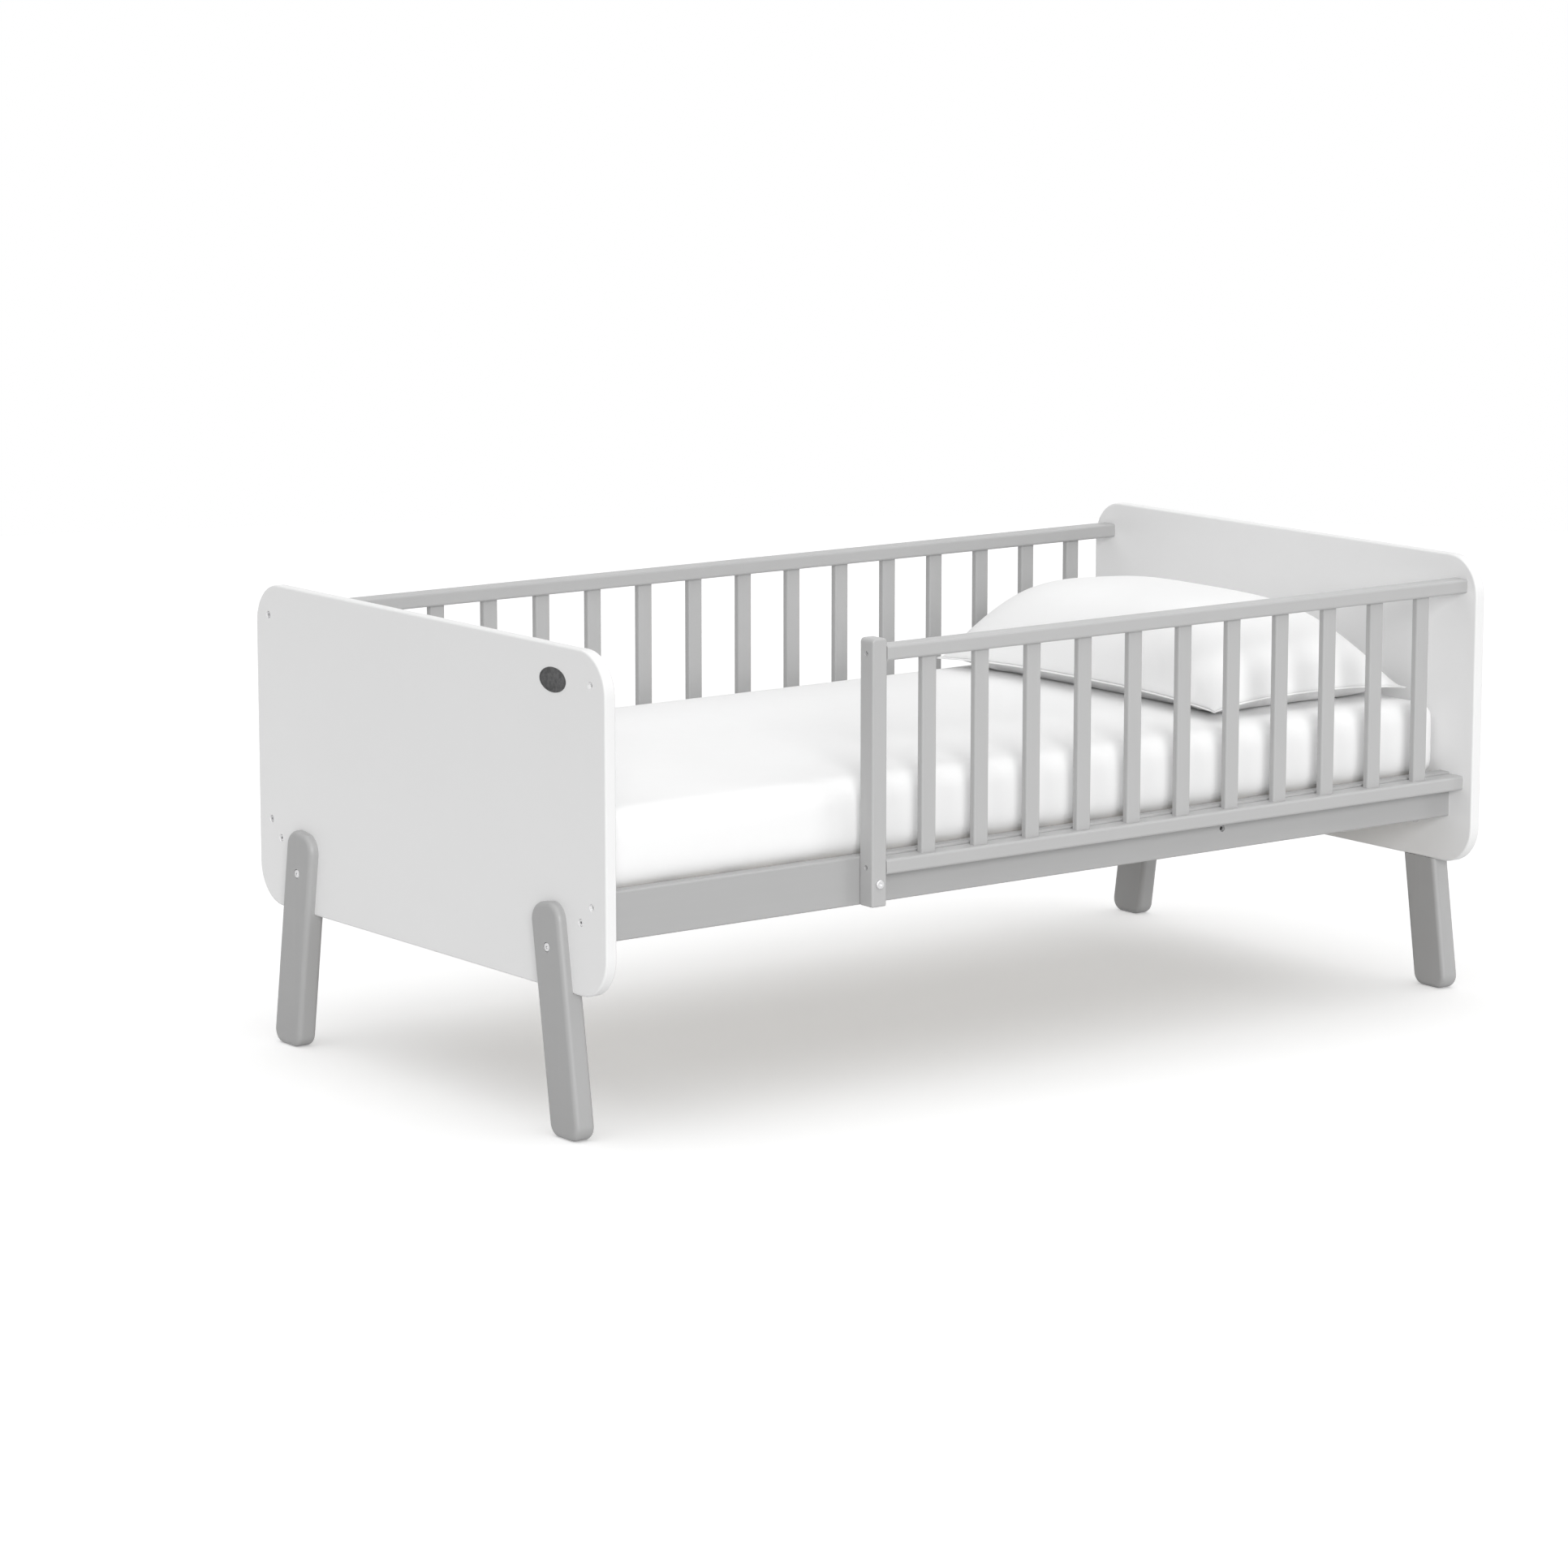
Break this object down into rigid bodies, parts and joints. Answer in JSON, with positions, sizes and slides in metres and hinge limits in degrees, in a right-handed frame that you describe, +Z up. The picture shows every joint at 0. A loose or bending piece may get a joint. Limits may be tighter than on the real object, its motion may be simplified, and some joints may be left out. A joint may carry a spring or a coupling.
{
  "type": "toddler bed",
  "caption": "Low toddler bed: round-cornered end panels on splayed lapped legs, slatted full rear guard and part front guard, slatted base, mattress and pillow.",
  "frame": {"origin": "on the floor, under the middle of the bed", "axes": "+X from the foot end to the head end, along the bed's length; +Y from the open front towards the full rear guard; +Z up"},
  "size_m": [1.67, 0.9, 0.685],
  "materials": {
    "white_paint": "satin",
    "grey_paint": "satin",
    "bare_pine": "matte",
    "dowel_beech": "matte",
    "zinc_steel": "satin",
    "badge": "satin",
    "mattress_cover": "matte",
    "pillow_cover": "matte",
    "webbing": "matte"
  },
  "bodies": {
    "bed_frame": {"badge_plate": "badge", "base_slats": "bare_pine", "foot_front_leg": "grey_paint", "foot_panel": "white_paint", "foot_rear_leg": "grey_paint", "front_guard_bottom_rail": "grey_paint", "front_guard_post": "grey_paint", "front_guard_slat_01": "grey_paint", "front_guard_slat_02": "grey_paint", "front_guard_slat_03": "grey_paint", "front_guard_slat_04": "grey_paint", "front_guard_slat_05": "grey_paint", "front_guard_slat_06": "grey_paint", "front_guard_slat_07": "grey_paint", "front_guard_slat_08": "grey_paint", "front_guard_slat_09": "grey_paint", "front_guard_slat_10": "grey_paint", "front_guard_slat_11": "grey_paint", "front_guard_top_rail": "grey_paint", "front_ledger": "bare_pine", "front_side_rail": "grey_paint", "guard_end_screws": "zinc_steel", "guard_post_screws": "zinc_steel", "head_front_leg": "grey_paint", "head_panel": "white_paint", "head_rear_leg": "grey_paint", "ledger_screws": "zinc_steel", "leg_bolts": "zinc_steel", "leg_dowels": "dowel_beech", "leg_tee_nuts": "zinc_steel", "post_bolt": "zinc_steel", "post_thread_inserts": "zinc_steel", "rear_guard_bottom_rail": "grey_paint", "rear_guard_slat_01": "grey_paint", "rear_guard_slat_02": "grey_paint", "rear_guard_slat_03": "grey_paint", "rear_guard_slat_04": "grey_paint", "rear_guard_slat_05": "grey_paint", "rear_guard_slat_06": "grey_paint", "rear_guard_slat_07": "grey_paint", "rear_guard_slat_08": "grey_paint", "rear_guard_slat_09": "grey_paint", "rear_guard_slat_10": "grey_paint", "rear_guard_slat_11": "grey_paint", "rear_guard_slat_12": "grey_paint", "rear_guard_slat_13": "grey_paint", "rear_guard_slat_14": "grey_paint", "rear_guard_slat_15": "grey_paint", "rear_guard_slat_16": "grey_paint", "rear_guard_top_rail": "grey_paint", "rear_ledger": "bare_pine", "rear_side_rail": "grey_paint", "side_rail_barrel_nuts": "zinc_steel", "side_rail_bolts": "zinc_steel", "side_rail_dowels": "dowel_beech", "slat_screws": "zinc_steel", "slat_webbing": "webbing"},
    "mattress": {"mattress": "mattress_cover"},
    "pillow": {"pillow": "pillow_cover"}
  },
  "joints": [
    {"name": "mattress_lift", "type": "slide", "parent": "bed_frame", "child": "mattress", "axis": [0, 0, 1], "range_m": [0, 0.4]},
    {"name": "pillow_lift", "type": "slide", "parent": "mattress", "child": "pillow", "axis": [0, 0, 1], "range_m": [0, 0.3]}
  ]
}
